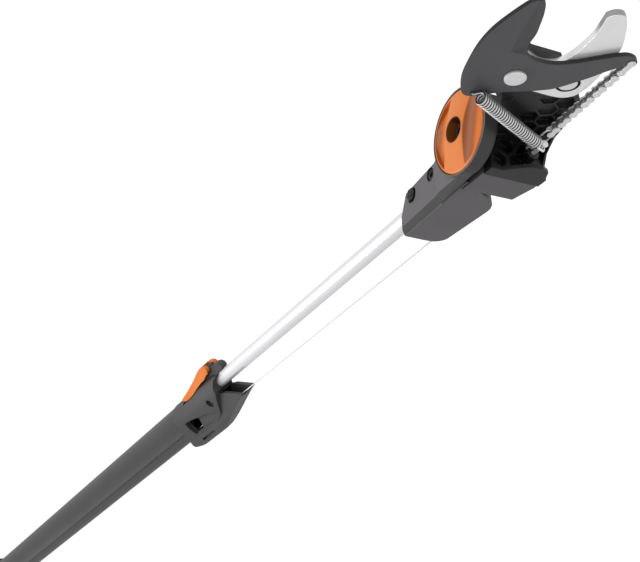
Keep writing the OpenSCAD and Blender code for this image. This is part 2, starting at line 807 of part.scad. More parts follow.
// Drum for the strap, with the smaller spool that draws the chain
module strap_drum() {
    color("black") at_tilt() translate([drum_x, 0, drum_z]) difference() {
        union() {
            rod_y(spool_r, -20, 0);
            rod_y(drum_r - 4, -5, 7);
            rod_y(drum_r, -5, -3.5);
            rod_y(drum_r, 5.5, 7);
        }
        rod_y(axle_r + run_gap, -40, 40);
    }
}

// Outline of the hook: throat, inner curve, tip, outer edge and pivot boss
module hook_shape() {
    polygon(smooth([[-62, 125], [-48, 121], [-38, 122], [-31, 128], [-28, 141], [-28, 162],
        [-31, 175], [-34.5, 187], [-34.5, 187], [-31, 192], [-24, 194], [-17, 189], [-7, 175], [2, 158],
        [8, 130], [10, 112], [9, 98], [5.5, 91.5], [-1, 87.5], [-11, 86], [-32, 86], [-32, 86], [-48, 86.5],
        [-64, 86.5], [-75, 93], [-77, 105], [-72, 119]]));
}

module hook() {
    color("silver") at_tilt() difference() {
        slab_y(hook_y, plate_y0) hook_shape();
        at_xz(pivot) rod_y(pivot_r + seat_gap, -30, 30);
        at_xz(hook_bolt) {
            rod_y(hook_bolt_r + seat_gap, -30, 30);
            rod_y(hook_head_r + 2, -30, hook_y + 3);
        }
    }
}

module hook_bolt_rod() {
    color("silver") at_tilt() at_xz(hook_bolt) {
        rod_y(hook_bolt_r, hook_y + 2, rear_y1);
        rod_y(hook_head_r, hook_y, hook_y + 3);
    }
}

// Outline of the steel back plate, with its tang in the frame
module back_shape() {
    polygon(concat([[14, tang_low], [10, 90], [2, 112], [-16, 122], [-27, 125], [-30, 128]],
        arc(pivot, 25.5, 92, 205, 12), [[-46, tang_low]]));
}

module back_holes() {
    at_xz(pivot) rod_y(pivot_r + seat_gap, -60, 60);
    at_xz(hook_bolt) rod_y(hook_bolt_r + seat_gap, -60, 60);
    for (p = screws) at_xz(p) rod_y(screw_r + seat_gap, -60, 60);
}

module back_plate() {
    color("dimgray") at_tilt() difference() {
        slab_y(plate_y0, rear_y0) back_shape();
        back_holes();
    }
}

// Rear frame behind the back plate, with its own foot
module frame_rear() {
    color("black") at_tilt() difference() {
        union() {
            slab_y(rear_y0, rear_y1) {
                polygon(concat([[14, tang_low], [8, 90], [3, 108], [-10, 114], [-28, 110]],
                    arc(pivot, 18.5, 60, 205, 12), [[-46, tang_low]]));
                web_shape();
            }
            translate([-head_left, rear_y0, 0])
                cube([head_left + head_right, foot_half - rear_y0, foot_t]);
        }
        slab_y(rear_y1 - comb_depth, rear_y1 + cut) comb_cells(foot_t + comb_r, 90);
        rod_x(hub_r + body_gap, -60, belly_wall - head_left + 8);
        back_holes();
    }
}

module pivot_bolt() {
    head_r = pivot_r + 3;
    color("silver") at_tilt() at_xz(pivot) {
        rod_y(pivot_r, blade_y - 0.1, rear_y1 + 8);
        rod_y(head_r, blade_y - 2.4, blade_y - 0.1);
        rod_y(head_r - 1.2, blade_y - 3, blade_y - 2.4);
    }
}

module pivot_nut() {
    color("silver") at_tilt() at_xz(pivot) difference() {
        rod_y(pivot_r + 4.5, rear_y1, rear_y1 + 7, 6);
        rod_y(pivot_r + seat_gap, 0, 60);
    }
}

module tilt_nut() {
    x0 = belly_wall - head_left;
    color("silver") at_tilt() difference() {
        rod_x(tilt_bolt_r + 4, x0, x0 + 6, 6);
        rod_x(tilt_bolt_r + run_gap, -60, 20);
    }
}

// Stud that holds the spring's lower end
module spring_post() {
    color("silver") at_tilt() translate([post[0], post[1], 0]) {
        translate([0, 0, 8]) cylinder(r = post_r, h = post[2] - 3);
        translate([0, 0, post[2] + 4]) cylinder(r = post_r + 1.4, h = 1.6);
    }
}

module frame_screws() {
    color("silver") at_tilt() for (p = screws) at_xz(p) {
        rod_y(screw_r, web_y + 1, rear_y1);
        rod_y(screw_head_r, web_y + 0.4, web_y + 2);
    }
}

// Outline of the blade: tip, cutting edge, throat, lever, spring corner and back
module blade_shape() {
    polygon(smooth([[-98, 188], [-98, 188], [-91, 187], [-83, 175], [-77, 162], [-72.5, 151], [-70, 138],
        [-64, 129], [-54, 126.5], [-43, 127], [-33, 130.5], [-23, 137], [-12, 146], [2, 157], [9, 160],
        [16, 159], [20.4, 155], [19.5, 150], [14, 147.5], [6, 138], [-1, 126], [-7, 117], [-18.5, 101.5],
        [-29, 94], [-38, 89], [-54, 81], [-69, 70], [-75, 66], [-82, 65.5], [-88, 71], [-96, 85],
        [-102, 103], [-107, 124], [-108.5, 143], [-106.5, 161], [-102, 181]]));
}

// Curved blade with its lever arm and ground edge
module cutting_blade() {
    color("dimgray") at_tilt() difference() {
        slab_y(blade_y, blade_back) blade_shape();
        at_xz(pivot) rod_y(pivot_r + run_gap, -30, 30);
        at_xz(lever_end) rod_y(1.9 + seat_gap, -30, 30);
        at_xz(spring_hole) rod_y(spring_hole_r, -30, 30);
    }
}

module chain_pin() {
    color("silver") at_tilt() at_xz(lever_end) rod_y(1.9, blade_mid - chain_half, blade_mid + chain_half);
}

// The chain's frame: its top pin at the lever's end, its links going down
module on_chain() {
    at_tilt() translate([lever_end[0], blade_mid, lever_end[1]]) rotate([0, -chain_lean, 0]) children();
}

function pin_drop(k) = k == 0 ? 0 : first_link + (k - 1) * chain_pitch;

// Two side plates from pin a to pin a + 1, t thick, from y outwards on both sides
module link_pair(a, y, t, hole) {
    top = pin_drop(a);
    low = pin_drop(a + 1);
    for (y0 = [y, -y - t]) difference() {
        slab_y(y0, y0 + t) {
            translate([0, -top]) circle(r = link_r);
            translate([0, -low]) circle(r = link_r);
            translate([-link_r * 0.7, -low]) square([link_r * 1.4, low - top]);
        }
        translate([0, 0, -top]) rod_y(hole, -10, 10);
        translate([0, 0, -low]) rod_y(rivet_r + seat_gap, -10, 10);
    }
}

module chain_outer_links() {
    y = blade_t / 2 + 0.3;
    color("silver") on_chain() {
        link_pair(0, y, plate_link_t, 1.9 + run_gap);
        for (k = [2 : 2 : chain_links]) link_pair(k, y, plate_link_t, rivet_r + seat_gap);
    }
}

module chain_inner_links() {
    color("gray") on_chain()
        for (k = [1 : 2 : chain_links]) link_pair(k, 0.8, blade_t / 2 - 0.6, rivet_r + seat_gap);
}

module chain_rivets() {
    color("silver") on_chain() for (k = [1 : chain_links + 1])
        translate([0, 0, -pin_drop(k)]) rod_y(rivet_r, -chain_half, chain_half);
}

// Points along the spring's wire: straight off the stud, winding out, coils, straight off the side
function ease(t) = let (s = min(1, max(0, t))) s * s * (3 - 2 * s);
function coil_point(a) = let (n = a / 360, r = coil_r * ease(n))
    [r * cos(a), r * sin(a), coil_from + coil_pitch * n];
steps = 8;
wire_line = concat([[0, 0, wire_from], [0, 0, wire_from + 2 * wire_r]],
    [for (k = [0 : wound * steps]) coil_point(k * 360 / steps)], [[wire_r, -coil_r, spring_len]]);
function unit(v) = v / norm(v);
function heading(p, k) = unit(p[min(k + 1, len(p) - 1)] - p[max(k - 1, 0)]);
function wire_ring(p, k) = let (t = heading(p, k), turn = max(0, k - 2) * 360 / steps,
        b = unit(cross(t, [cos(turn), sin(turn), 0])), n = cross(b, t))
    [for (j = [0 : 5]) p[k] + wire_r * (cos(j * 60) * n + sin(j * 60) * b)];

// Least distance between the wire and its own next turns, surface to surface
wire_gap = min([for (i = [2 : len(wire_line) - 1], j = [i + 5 : min(i + 14, len(wire_line) - 1)])
    norm(wire_line[i] - wire_line[j])]) - 2 * wire_r;
echo(wire_gap = wire_gap, coil_pitch = coil_pitch);

// Wound return spring, one unbroken wire from the stud to its hook
module return_spring() {
    count = len(wire_line);
    pts = [for (k = [0 : count - 1]) each wire_ring(wire_line, k)];
    sides = [for (k = [0 : count - 2], j = [0 : 5])
        let (a = k * 6 + j, b = k * 6 + (j + 1) % 6, c = b + 6, d = a + 6) each [[a, d, c], [a, c, b]]];
    caps = concat([for (j = [1 : 4]) [0, j, j + 1]],
        [for (j = [1 : 4]) let (e = (count - 1) * 6) [e, e + j + 1, e + j]]);
    color("silver") at_tilt() translate(post) rotate(spring_turn)
        polyhedron(points = pts, faces = concat(sides, caps));
}

// Hook that the wire ends in: off the coil's side, in front of the blade and through its hole
module spring_hook() {
    side = [spring_dir[1], -spring_dir[0], 0] / norm([spring_dir[0], spring_dir[1]]);
    from = spring_end + coil_r * side;
    bend = [spring_hole[0], from[1], spring_hole[1]];
    run = unit(bend - from);
    off = wire_r + 0.5;
    color("silver") at_tilt() {
        translate(from + off * run) rotate([0, acos(run[2]), atan2(run[1], run[0])])
            cylinder(r = wire_r, h = norm(bend - from) - off - wire_r - seat_gap);
        at_xz(spring_hole) rod_y(wire_r, bend[1] - wire_r, blade_back + 2);
    }
}

// Wire loop on the chain's last pin, with the strap that winds on the spool
module draw_strap() {
    loop_r = 4.6;
    loop_wire = 0.9;
    loop_len = 10;
    t = 1.6;
    w = 6;
    pin_low = pin_drop(chain_links + 1);
    loop_top = loop_r - loop_wire - rivet_r - 0.1;
    reach = pin_low + loop_top + loop_len + loop_r - 1;
    from = [lever_end[0] + reach * sin(chain_lean), lever_end[1] - reach * cos(chain_lean)];
    to = [drum_x + spool_r + 0.3 + t / 2, drum_z];
    color("silver") {
        on_chain() translate([0, 0, -pin_low - loop_top]) {
            rotate([90, 0, 0]) rotate_extrude(angle = 180) translate([loop_r, 0]) circle(r = loop_wire, $fn = 16);
            translate([0, 0, -loop_len]) rotate([-90, 0, 0]) rotate_extrude(angle = 180)
                translate([loop_r, 0]) circle(r = loop_wire, $fn = 16);
            for (x = [-loop_r, loop_r])
                translate([x, 0, -loop_len]) cylinder(r = loop_wire, h = loop_len, $fn = 16);
        }
        at_tilt() slab_y(blade_mid - w / 2, blade_mid + w / 2)
            polygon([from - [t / 2, 0], from + [t / 2, 0], to + [t / 2, 0], to - [t / 2, 0]]);
    }
}

outer_tube();
butt_cap();
hand_grip();
collar_body();
collar_screws();
clamp_bush();
lever_pin_rod();
clamp_bolt_rod();
clamp_nut();
clamp_lever();
handle_front();
handle_back();
handle_screws();
strap_tongue();
inner_tube();
tube_glide();
base_cheek();
base_body();
base_bolts();
base_nuts();
strap_bush();
pull_strap();
knob_washer();
tilt_knob();
knob_bolt();
head_frame();
drum_housing();
drum_axle();
hook();
hook_bolt_rod();
back_plate();
frame_rear();
pivot_bolt();
pivot_nut();
tilt_nut();
spring_post();
frame_screws();
strap_drum();
cutting_blade();
chain_pin();
chain_outer_links();
chain_inner_links();
chain_rivets();
return_spring();
spring_hook();
draw_strap();
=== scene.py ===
# %% [markdown]
# # A telescopic tree pruner pole
# The pole carries a bypass cutting head: a coated blade closes past a bright steel hook when the
# user pulls a handle low on the pole. A strap runs up the pole to a drum in the head, and the
# drum draws a short chain on the blade's lever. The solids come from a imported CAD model, which is
# the fixed frame here. This lesson rounds their edges, gives each one the finish of its real
# material, and models the wire, strap and ground edge more finely than the solids do.

# %% Load the frame
import json
import math

import bmesh
import bpy
from mathutils import Matrix, Vector


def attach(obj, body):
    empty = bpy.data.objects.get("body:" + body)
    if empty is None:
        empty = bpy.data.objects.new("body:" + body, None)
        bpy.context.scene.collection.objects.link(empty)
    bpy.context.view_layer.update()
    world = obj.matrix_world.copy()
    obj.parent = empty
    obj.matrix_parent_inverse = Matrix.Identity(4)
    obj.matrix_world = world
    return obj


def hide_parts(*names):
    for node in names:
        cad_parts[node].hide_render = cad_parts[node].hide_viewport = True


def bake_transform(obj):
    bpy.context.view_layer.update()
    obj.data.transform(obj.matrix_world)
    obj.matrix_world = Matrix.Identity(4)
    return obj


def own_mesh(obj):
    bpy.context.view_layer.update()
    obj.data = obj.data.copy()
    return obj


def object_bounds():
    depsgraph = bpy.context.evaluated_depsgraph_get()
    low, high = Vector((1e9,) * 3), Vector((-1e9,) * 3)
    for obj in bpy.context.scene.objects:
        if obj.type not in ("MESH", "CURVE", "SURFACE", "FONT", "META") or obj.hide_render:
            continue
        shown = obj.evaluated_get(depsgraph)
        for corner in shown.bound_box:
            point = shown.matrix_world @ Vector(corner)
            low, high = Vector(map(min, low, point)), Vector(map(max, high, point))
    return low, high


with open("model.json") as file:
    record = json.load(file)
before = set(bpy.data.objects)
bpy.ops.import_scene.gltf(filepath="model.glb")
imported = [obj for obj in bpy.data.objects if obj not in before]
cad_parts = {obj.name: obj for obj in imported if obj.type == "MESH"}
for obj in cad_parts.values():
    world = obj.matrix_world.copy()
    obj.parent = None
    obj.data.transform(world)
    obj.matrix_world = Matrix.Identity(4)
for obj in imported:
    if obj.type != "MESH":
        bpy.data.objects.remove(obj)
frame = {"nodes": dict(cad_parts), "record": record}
cad_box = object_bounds()
scene = bpy.context.scene
scene.view_settings.view_transform = "Standard"
bodies = frame["record"]["behaviour"]["bodies"]
body_of = {node: body for body, nodes in bodies.items() for node in nodes}
print("nodes:", len(body_of), "bodies:", len(bodies))

# %% [markdown]
# ## Camera
# The camera stands in front of the head on the knob's side and looks down at it, so that the pole
# runs from the lower left to the upper right. Its three axes are written as vectors, which is
# clearer than three angles when a view is tilted.

# %% Place the camera
MM = 0.001
TILT = Vector((0, 0, 2.310))


def head(x, y, z):
    """A point given in millimetres from the middle of the tilt joint."""
    return TILT + Vector((x, y, z)) * MM


camera = bpy.data.objects.new("camera", bpy.data.cameras.new("camera"))
scene.collection.objects.link(camera)
scene.camera = camera
camera.data.lens = 69.3
camera.data.sensor_width = 36
camera.data.clip_end = 50
view_from = head(-586.9, -560.9, 735.1)
view_right = Vector((0.8882, -0.0515, 0.4567))
view_up = Vector((-0.1534, 0.9035, 0.4002))
view_back = view_right.cross(view_up)
turn = Matrix((view_right, view_up, view_back)).transposed()
camera.matrix_world = Matrix.Translation(view_from) @ turn.to_4x4()
print("camera at", [round(c, 3) for c in camera.location])

# %% [markdown]
# ## Colour and nodes
# Colours are written as the hex values that a colour picker shows. Blender's shaders want linear
# light, so one function turns a hex value into that. A second small function adds a shader node,
# fills in its settings and connects its inputs, which keeps every material readable.

# %% Helpers for materials


def linear(code):
    """A hex colour such as #336699 as linear red, green, blue and alpha."""
    parts = [int(code[k:k + 2], 16) / 255 for k in (1, 3, 5)]
    return [c / 12.92 if c <= 0.04045 else ((c + 0.055) / 1.055) ** 2.4 for c in parts] + [1.0]


def add(tree, kind, settings=None, links=None):
    """A new shader node with its settings, and links into its inputs from other nodes' outputs."""
    node = tree.nodes.new("ShaderNode" + kind)
    for key, value in (settings or {}).items():
        if isinstance(key, int) or key in node.inputs:
            node.inputs[key].default_value = value
        else:
            setattr(node, key, value)
    for key, source in (links or {}).items():
        tree.links.new(source, node.inputs[key])
    return node


def new_material(name):
    """A material with its shader, and the object coordinates that its patterns read."""
    material = bpy.data.materials.new(name)
    material.use_nodes = True
    tree = material.node_tree
    shader = tree.nodes["Principled BSDF"]
    place = add(tree, "TexCoord").outputs["Object"]
    return material, tree, shader, place


print("orange in linear light:", [round(c, 3) for c in linear("#E8843A")])

# %% [markdown]
# ## Floor and light
# A product photograph on white has a large soft light and a bright sweep of paper. Here the sky is
# an even white, a weak broad sun stands for the soft box at the left, a second soft box lights the
# head from below on the knob's side, and a pale floor takes the shadow. The camera and mirror-like
# metal see the sky as plain white.

# %% Lay the floor
floor_half = 14
floor_drop = 0.001
floor_mesh = bmesh.new()
bmesh.ops.create_grid(floor_mesh, x_segments=4, y_segments=4, size=floor_half)
bmesh.ops.translate(floor_mesh, verts=floor_mesh.verts, vec=(0, 0, cad_box[0][2] - floor_drop))
floor = bpy.data.objects.new("floor", bpy.data.meshes.new("floor"))
floor_mesh.to_mesh(floor.data)
floor_mesh.free()
scene.collection.objects.link(floor)
paper, tree, shader, _ = new_material("matt_paper")
shader.inputs["Base Color"].default_value = linear("#F4F4F4")
shader.inputs["Roughness"].default_value = 0.9
shader.inputs["Specular IOR Level"].default_value = 0.1
paper_lift = 0.42
seen = add(tree, "LightPath")
lift = add(tree, "Math", {"operation": "MULTIPLY", 1: paper_lift},
           {0: seen.outputs["Is Camera Ray"]})
shader.inputs["Emission Color"].default_value = linear("#FFFFFF")
tree.links.new(lift.outputs[0], shader.inputs["Emission Strength"])
floor.data.materials.append(paper)
print("floor at z =", round(cad_box[0][2], 4))

# %% Light the sky and the two soft boxes


def aim(way):
    """A turn that points an object's own Z along a vector."""
    return way.to_track_quat("Z", "Y").to_matrix().to_4x4()


world = bpy.data.worlds.new("studio")
scene.world = world
world.use_nodes = True
tree = world.node_tree
sky = tree.nodes["Background"]
sky.inputs["Color"].default_value = linear("#FFFFFF")
seen = add(tree, "LightPath")
direct = add(tree, "Math", {"operation": "MAXIMUM"},
             {0: seen.outputs["Is Camera Ray"], 1: seen.outputs["Is Glossy Ray"]})
direct = add(tree, "Math", {"operation": "MAXIMUM"},
             {0: direct.outputs[0], 1: seen.outputs["Is Transmission Ray"]})
level = add(tree, "MapRange", {"To Min": 0.62, "To Max": 1.0}, {"Value": direct.outputs[0]})
tree.links.new(level.outputs["Result"], sky.inputs["Strength"])

sun = bpy.data.objects.new("soft_box", bpy.data.lights.new("soft_box", "SUN"))
sun.data.energy = 0.7
sun.data.angle = math.radians(35)
sun.matrix_world = aim(view_back * 0.8 - view_right * 0.65 + view_up * 0.3)
scene.collection.objects.link(sun)

low_box = bpy.data.objects.new("low_soft_box", bpy.data.lights.new("low_soft_box", "AREA"))
low_box.data.energy = 6.5
low_box.data.size = 0.7
low_at = head(-850, -250, -850)
low_box.matrix_world = Matrix.Translation(low_at) @ aim(low_at - TILT)
scene.collection.objects.link(low_box)
print("lights:", sun.name, low_box.name)

# %% [markdown]
# ## Moulded plastics
# The base and collar are moulded from grey glass-filled nylon, the head's frame from a blacker and
# shinier grade, and the knob and clamp lever from orange ABS. A mould's surface gives all of them a
# fine grain. Their edges are painted a little paler: partly wear from handling, partly a painted
# highlight. The grain is really about 0.3 mm wide; it is drawn at 1.5 mm, because anything finer is
# lost in the picture.

# %% Mix the plastics
GRAIN = 1.5 * MM


def moulded(name, colour, pale, roughness, grain_height=0.05):
    """A moulded plastic: two close shades in soft patches, a fine grain and paler edges."""
    material, tree, shader, place = new_material(name)
    patch = add(tree, "TexNoise", {"Scale": 22.0, "Detail": 3.0}, {"Vector": place})
    tone = add(tree, "MapRange", {"From Min": 0.3, "From Max": 0.7, "To Min": 0.0, "To Max": 0.3},
               {"Value": patch.outputs["Fac"]})
    facing = add(tree, "NewGeometry")
    # Paler edges: partly wear from handling, partly a painted highlight along each edge.
    rounded = add(tree, "Bevel", {"samples": 4, "Radius": 0.9 * MM})
    match = add(tree, "VectorMath", {"operation": "DOT_PRODUCT"},
                {0: facing.outputs["Normal"], 1: rounded.outputs["Normal"]})
    edge_wear_and_highlight = add(tree, "MapRange",
               {"From Min": 0.80, "From Max": 0.98, "To Min": 0.45, "To Max": 0.0},
               {"Value": match.outputs["Value"]})
    shade = add(tree, "Math", {"operation": "ADD", "use_clamp": True},
                {0: tone.outputs["Result"], 1: edge_wear_and_highlight.outputs["Result"]})
    mix = add(tree, "Mix", {"data_type": "RGBA", 6: linear(colour), 7: linear(pale)},
              {0: shade.outputs[0]})
    tree.links.new(mix.outputs[2], shader.inputs["Base Color"])
    grain = add(tree, "TexNoise", {"Scale": 1 / GRAIN, "Detail": 2.0}, {"Vector": place})
    rough = add(tree, "MapRange", {"To Min": roughness - 0.06, "To Max": roughness + 0.08},
                {"Value": grain.outputs["Fac"]})
    tree.links.new(rough.outputs["Result"], shader.inputs["Roughness"])
    bump = add(tree, "Bump", {"Strength": 0.5, "Distance": grain_height * MM},
               {"Height": grain.outputs["Fac"]})
    tree.links.new(bump.outputs["Normal"], shader.inputs["Normal"])
    shader.inputs["IOR"].default_value = 1.5
    return material


grey_nylon = moulded("grey_glass_filled_nylon", "#524F52", "#656265", 0.5)
dark_nylon = moulded("dark_glass_filled_nylon", "#343234", "#4A484A", 0.48)
black_nylon = moulded("black_nylon", "#1A171A", "#302C30", 0.4)
black_nylon.node_tree.nodes["Principled BSDF"].inputs["Specular IOR Level"].default_value = 0.35
orange_abs = moulded("orange_abs", "#D2690F", "#E58A3A", 0.36, grain_height=0.02)
knob_abs_painted_shade = moulded("orange_abs_with_painted_shade", "#DA7222", "#EA9450", 0.36, grain_height=0.02)
print("plastics:", grey_nylon.name, dark_nylon.name, black_nylon.name, orange_abs.name)

# %% [markdown]
# ## The cheek's painted light and shade
# The side of the base that holds the knob is painted grey on its flat outer face, and its bevelled
# edge and the rim round the knob a darker band: painted light and shade. The tones follow the way
# the surface faces, so the mask comes from the surface normal: where it points along the knob's
# axis the face is painted the lit grey.

# %% Mask the cheek's band


def facing_axes(tree):
    """Outputs X, Y and Z of the direction that the surface faces."""
    facing = add(tree, "NewGeometry")
    return add(tree, "SeparateXYZ", {}, {"Vector": facing.outputs["True Normal"]}).outputs


def paint_over(tree, colour, mask):
    """Lays a colour over a material's base colour where the mask is 1."""
    base = tree.nodes["Principled BSDF"].inputs["Base Color"]
    mix = add(tree, "Mix", {"data_type": "RGBA", 7: linear(colour)},
              {0: mask, 6: base.links[0].from_socket})
    tree.links.new(mix.outputs[2], base)


cheek_nylon_painted_light = moulded("nylon_with_painted_light_and_shade", "#2B292B", "#474547", 0.45)
tree = cheek_nylon_painted_light.node_tree
# Painted light and shade: faces that look along the knob's axis are painted lighter than the band.
flat = add(tree, "MapRange", {"From Min": -0.80, "From Max": -0.86, "To Min": 0.0, "To Max": 1.0},
           {"Value": facing_axes(tree)["X"]})
paint_over(tree, "#575457", flat.outputs["Result"])
print("cheek finish:", cheek_nylon_painted_light.name)

# %% [markdown]
# ## Painted shade on the knob
# The wall of the hole that sinks the knob's bolt is painted dark brown, as painted shade in the
# hole. The hole is round about the tilt axis: the mask is the distance from that axis, which two
# coordinates give. The finger scoops' faces that look up the pole are painted darker too, as
# painted shade, and the surface normal's Z finds those.

# %% Darken the hole and the scoops


def axis_distance(tree, across, centre):
    """How far the surface is from a line through centre; across is 0 on the line's own axis."""
    place = add(tree, "TexCoord").outputs["Object"]
    level = add(tree, "VectorMath", {"operation": "MULTIPLY", 1: across}, {0: place})
    reach = add(tree, "VectorMath", {"operation": "DISTANCE", 1: centre}, {0: level.outputs[0]})
    return reach.outputs["Value"]


tree = knob_abs_painted_shade.node_tree
# Painted shade: the wall of the bolt's hole is painted dark brown.
painted_recess_shade = add(tree, "MapRange",
             {"From Min": 12.2 * MM, "From Max": 11.2 * MM, "To Min": 0.0, "To Max": 1.0},
             {"Value": axis_distance(tree, (0, 1, 1), TILT)})
paint_over(tree, "#4A2408", painted_recess_shade.outputs["Result"])
# Painted shade: scoop faces that look up the pole are painted darker.
upward = add(tree, "MapRange", {"From Min": 0.2, "From Max": 0.5, "To Min": 0.0, "To Max": 0.8},
             {"Value": facing_axes(tree)["Z"]})
paint_over(tree, "#8A4A12", upward.outputs["Result"])
print("knob finish:", knob_abs_painted_shade.name)

# %% [markdown]
# ## Metals
# The inner tube is anodised aluminium and the outer one is powder coated. The hook is ground and
# polished steel, the small fittings are zinc plated, and the base's nuts are blackened. Drawn tube
# and ground steel have fine lines one way: a noise pattern is stretched along the line's direction.

# %% Mix the metals


def lined_metal(name, colour, dull, roughness, stretch, line_mm, metallic, bump_mm=0.01):
    """A metal with fine lines: stretch scales the pattern along x, y and z."""
    material, tree, shader, place = new_material(name)
    drawn = add(tree, "Mapping", {"Scale": stretch}, {"Vector": place})
    lines = add(tree, "TexNoise", {"Scale": 1 / (line_mm * MM), "Detail": 4.0},
                {"Vector": drawn.outputs["Vector"]})
    cloud = add(tree, "TexNoise", {"Scale": 14.0, "Detail": 3.0}, {"Vector": place})
    shade = add(tree, "Math", {"operation": "MULTIPLY"},
                {0: lines.outputs["Fac"], 1: cloud.outputs["Fac"]})
    tone = add(tree, "MapRange", {"From Min": 0.12, "From Max": 0.45}, {"Value": shade.outputs[0]})
    mix = add(tree, "Mix", {"data_type": "RGBA", 6: linear(colour), 7: linear(dull)},
              {0: tone.outputs["Result"]})
    tree.links.new(mix.outputs[2], shader.inputs["Base Color"])
    rough = add(tree, "MapRange", {"To Min": roughness - 0.07, "To Max": roughness + 0.09},
                {"Value": lines.outputs["Fac"]})
    tree.links.new(rough.outputs["Result"], shader.inputs["Roughness"])
    bump = add(tree, "Bump", {"Strength": 0.4, "Distance": bump_mm * MM},
               {"Height": lines.outputs["Fac"]})
    tree.links.new(bump.outputs["Normal"], shader.inputs["Normal"])
    shader.inputs["Metallic"].default_value = metallic
    return material


even, along_pole, up_hook = (1.0, 1.0, 1.0), (1.0, 1.0, 0.02), (1.0, 1.0, 0.05)
anodised = lined_metal("anodised_aluminium", "#F2F2F4", "#EAEAEC", 0.3, along_pole,
                       line_mm=1.2, metallic=0.5)
powder_coat = lined_metal("powder_coated_aluminium", "#3C3A3C", "#343234", 0.36, even,
                          line_mm=1.6, metallic=0.25, bump_mm=0.03)
ground_steel = lined_metal("ground_steel", "#FFFFFF", "#F6F6F7", 0.3, up_hook,
                           line_mm=1.2, metallic=0.55)
zinc_plate = lined_metal("zinc_plated_steel", "#F0F0F1", "#E6E6E8", 0.32, even,
                         line_mm=4.0, metallic=0.55)
spring_steel = lined_metal("spring_steel", "#F0F0F1", "#E2E2E4", 0.28, even,
                           line_mm=4.0, metallic=0.6)
oiled_steel = lined_metal("oiled_steel", "#8E8E90", "#6C6C6E", 0.35, even,
                          line_mm=3.0, metallic=0.5)
black_oxide = lined_metal("blackened_steel", "#2C2B2D", "#201F21", 0.38, even,
                          line_mm=2.0, metallic=0.6)
print("metals:", anodised.name, powder_coat.name, ground_steel.name, zinc_plate.name)

# %% [markdown]
# ## Painted shade on the spring and the hook
# The sides of the spring's wire that face the next turn are painted dark, as painted shade between
# the coils: the mask is how far the surface looks along the spring's axis. The hook's narrow faces
# at its tip and its foot are painted a duller grey than the ground sides, as painted shade. The
# recess round its bolt is painted black, as painted shade.

# %% Mask the gaps between the coils
stud = head(17.6, -20.5, 33)
coil_end = head(-73.2, -20.4, 75)
spring_way = (coil_end - stud).normalized()
tree = spring_steel.node_tree
facing = add(tree, "NewGeometry")
along = add(tree, "VectorMath", {"operation": "DOT_PRODUCT", 1: spring_way},
            {0: facing.outputs["True Normal"]})
along = add(tree, "Math", {"operation": "ABSOLUTE"}, {0: along.outputs["Value"]})
# Painted shade: the wire's sides that face the next turn are painted dark.
coil_gap_shade = add(tree, "MapRange", {"From Min": 0.45, "From Max": 0.8, "To Min": 0.0, "To Max": 1.0},
          {"Value": along.outputs[0]})
paint_over(tree, "#39383A", coil_gap_shade.outputs["Result"])
print("spring finish:", spring_steel.name)

# %% Mask the hook's painted facet shade and its bolt's recess
tree = ground_steel.node_tree
side_on = add(tree, "Math", {"operation": "ABSOLUTE"}, {0: facing_axes(tree)["Y"]})
narrow = add(tree, "MapRange", {"From Min": 0.5, "From Max": 0.3, "To Min": 0.0, "To Max": 1.0},
             {"Value": side_on.outputs[0]})
spot = add(tree, "SeparateXYZ", {}, {"Vector": add(tree, "TexCoord").outputs["Object"]})
# Painted shade: the hook's narrow faces at its tip and foot are painted a duller grey.
facet_shade_ends = []
for unshaded_z, shaded_z in [(164, 176), (112, 104)]:
    span = {"From Min": head(0, 0, unshaded_z).z, "From Max": head(0, 0, shaded_z).z}
    facet_shade_ends.append(add(tree, "MapRange", span, {"Value": spot.outputs["Z"]}).outputs["Result"])
painted_facet_shade = add(tree, "Math", {"operation": "MAXIMUM"}, {0: facet_shade_ends[0], 1: facet_shade_ends[1]})
painted_facet_shade = add(tree, "Math", {"operation": "MULTIPLY"},
               {0: painted_facet_shade.outputs[0], 1: narrow.outputs["Result"]})
paint_over(tree, "#9A9A9C", painted_facet_shade.outputs[0])
# Painted shade: the recess round the hook's bolt is painted black.
hook_bolt = head(-7.5, 0, 105)
painted_recess_shade = add(tree, "MapRange",
             {"From Min": 10.4 * MM, "From Max": 9.9 * MM, "To Min": 0.0, "To Max": 1.0},
             {"Value": axis_distance(tree, (1, 0, 1), hook_bolt)})
paint_over(tree, "#161517", painted_recess_shade.outputs["Result"])
print("hook finish:", ground_steel.name)

# %% [markdown]
# ## Coated blade steel
# The blade has a dark low friction coating over ground steel. It is an even charcoal with a soft
# sheen, and fine scratches run across it. Its narrow edges are painted almost black and the ground
# bevel a shade darker, both as painted shade. The masks again come from the way the surface faces:
# the blade's sides look along Y, and the bevel leans a few degrees away from that.

# %% Mix the blade's coating
coating, tree, shader, place = new_material("low_friction_coated_steel")
mottle = add(tree, "TexNoise", {"Scale": 45.0, "Detail": 5.0}, {"Vector": place})
sides = add(tree, "Mix", {"data_type": "RGBA", 6: linear("#4A484B"), 7: linear("#545255")},
            {0: mottle.outputs["Fac"]})
tree.links.new(sides.outputs[2], shader.inputs["Base Color"])
side_on = add(tree, "Math", {"operation": "ABSOLUTE"}, {0: facing_axes(tree)["Y"]})
# Painted shade: the ground bevel is painted a shade darker than the sides.
ground = add(tree, "MapRange",
             {"From Min": 0.998, "From Max": 0.975, "To Min": 0.0, "To Max": 0.5},
             {"Value": side_on.outputs[0]})
paint_over(tree, "#3B393C", ground.outputs["Result"])
